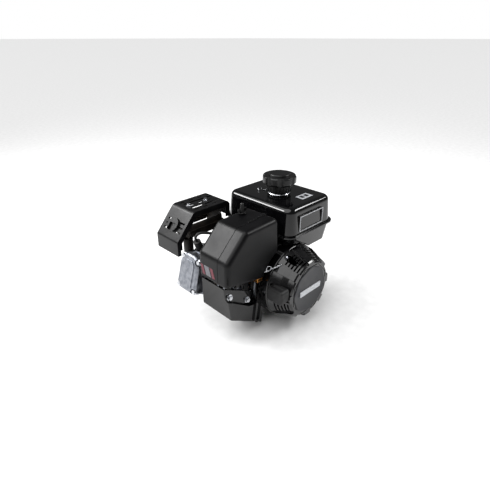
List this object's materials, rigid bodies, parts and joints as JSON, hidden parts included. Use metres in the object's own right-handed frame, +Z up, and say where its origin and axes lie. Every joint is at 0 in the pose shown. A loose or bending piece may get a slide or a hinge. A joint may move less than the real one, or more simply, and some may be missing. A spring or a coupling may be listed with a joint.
{
  "type": "small gasoline engine",
  "caption": "Air-cooled single-cylinder engine with horizontal output shaft, recoil starter, fuel tank, air cleaner and guarded muffler.",
  "frame": {"origin": "centre of the four mounting slots on the base plane, directly below the crankshaft axis", "axes": "+Y along the output shaft, away from the recoil starter; +Z up; the cylinder leans toward -X"},
  "size_m": [0.3571, 0.3262, 0.331],
  "materials": {
    "cast_black": "satin",
    "cast_alloy": "as cast",
    "steel_bright": "machined",
    "zinc_steel": "zinc plated",
    "dark_steel": "hardened",
    "black_sheet": "gloss",
    "recoil_black": "gloss",
    "cover_black": "satin",
    "cap_black": "matte",
    "handle_black": "matte",
    "fan_plastic": "matte",
    "seal_rubber": "matte",
    "hose_rubber": "matte",
    "rope_fibre": "braided",
    "filter_paper": "pleated",
    "brass": "machined",
    "phenolic": "moulded",
    "muffler_steel": "heat-resistant",
    "guard_black": "satin",
    "strainer": "moulded"
  },
  "bodies": {
    "engine": {"crankcase": "cast_black", "crankcase_cover": "cast_black", "cover_bolts": "zinc_steel", "oil_plugs": "cap_black", "crankpin": "steel_bright", "connecting_rod": "cast_alloy", "piston": "cast_alloy", "wrist_pin": "dark_steel", "main_bearings": "steel_bright", "oil_seals": "seal_rubber", "tappets": "dark_steel", "valves": "steel_bright", "valve_springs": "dark_steel", "rocker_arms": "dark_steel", "cylinder_head": "cast_black", "head_bolts": "zinc_steel", "rocker_cover": "cast_alloy", "rocker_cover_bolts": "zinc_steel", "spark_plug": "steel_bright", "spark_plug_cap": "seal_rubber", "plug_lead": "hose_rubber", "ignition_coil": "cap_black", "blower_housing": "black_sheet", "leg_bolts": "zinc_steel", "recoil_bolts": "zinc_steel", "recoil_cover": "recoil_black", "starter_rope": "rope_fibre", "fuel_tank_upper": "black_sheet", "fuel_tank_lower": "black_sheet", "fuel_strainer": "strainer", "fuel_hose": "hose_rubber", "air_cleaner_base": "cover_black", "filter_element": "filter_paper", "cover_stud": "zinc_steel", "insulator": "phenolic", "carburettor_body": "cast_alloy", "float_bowl": "zinc_steel", "fuel_valve": "brass", "muffler": "muffler_steel", "muffler_guard": "guard_black", "guard_screws": "zinc_steel", "control_plate": "zinc_steel"},
    "crank": {"crankshaft": "steel_bright", "flywheel": "cast_alloy", "cooling_fan": "fan_plastic", "starter_cup": "dark_steel", "flywheel_nut": "zinc_steel"},
    "cam": {"camshaft": "dark_steel"},
    "starter_pulley": {"recoil_pulley": "fan_plastic"},
    "starter_grip": {"starter_handle": "handle_black"},
    "cap_plug": {"cap_retainer": "seal_rubber"},
    "cap": {"fuel_cap": "cap_black"},
    "cleaner_lid": {"air_cleaner_cover": "cover_black"},
    "lid_knob": {"cover_knob": "cap_black"},
    "throttle": {"throttle_lever": "zinc_steel"},
    "choke": {"choke_lever": "cap_black"},
    "fuel_tap": {"fuel_valve_lever": "cap_black"},
    "speed_lever": {"control_lever": "cap_black"}
  },
  "joints": [
    {"name": "crank_spin", "type": "hinge", "parent": "engine", "child": "crank", "pos_m": [0, 0, 0.106], "axis": [0, 1, 0], "continuous": true},
    {"name": "cam_spin", "type": "hinge", "parent": "engine", "child": "cam", "pos_m": [-0.03236, 0, 0.07054], "axis": [0, 1, 0], "continuous": true},
    {"name": "handle_pull", "type": "slide", "parent": "engine", "child": "starter_grip", "axis": [-1, 0, 0], "range_m": [0, 0.8]},
    {"name": "pulley_spin", "type": "hinge", "parent": "engine", "child": "starter_pulley", "pos_m": [0, -0.164, 0.106], "axis": [0, 1, 0], "range_deg": [0, 1280]},
    {"name": "cap_lift", "type": "slide", "parent": "engine", "child": "cap_plug", "axis": [0, 0, 1], "range_m": [0, 0.06]},
    {"name": "cap_turn", "type": "hinge", "parent": "cap_plug", "child": "cap", "pos_m": [0.055, -0.04, 0.3], "axis": [0, 0, 1], "range_deg": [0, 90]},
    {"name": "cover_lift", "type": "slide", "parent": "engine", "child": "cleaner_lid", "axis": [0, 0, 1], "range_m": [0, 0.15]},
    {"name": "knob_turn", "type": "hinge", "parent": "cleaner_lid", "child": "lid_knob", "pos_m": [-0.08, -0.053, 0.28], "axis": [0, 0, 1], "range_deg": [0, 720]},
    {"name": "throttle_swing", "type": "hinge", "parent": "engine", "child": "throttle", "pos_m": [-0.138, -0.068, 0.148], "axis": [0, 0, 1], "range_deg": [-25, 20]},
    {"name": "choke_swing", "type": "hinge", "parent": "engine", "child": "choke", "pos_m": [-0.148, -0.102, 0.14], "axis": [0, 1, 0], "range_deg": [0, 26]},
    {"name": "fuel_tap_turn", "type": "hinge", "parent": "engine", "child": "fuel_tap", "pos_m": [-0.103, -0.104, 0.122], "axis": [0, 1, 0], "range_deg": [-90, 0]},
    {"name": "speed_lever_swing", "type": "hinge", "parent": "engine", "child": "speed_lever", "pos_m": [-0.034, -0.024, 0.166], "axis": [0, 0, 1], "range_deg": [-25, 25]}
  ],
  "couplings": [
    {"joint": "cam_spin", "follows": "crank_spin", "ratio": -0.5},
    {"joint": "pulley_spin", "follows": "handle_pull", "rad_per_m": 27.778}
  ]
}
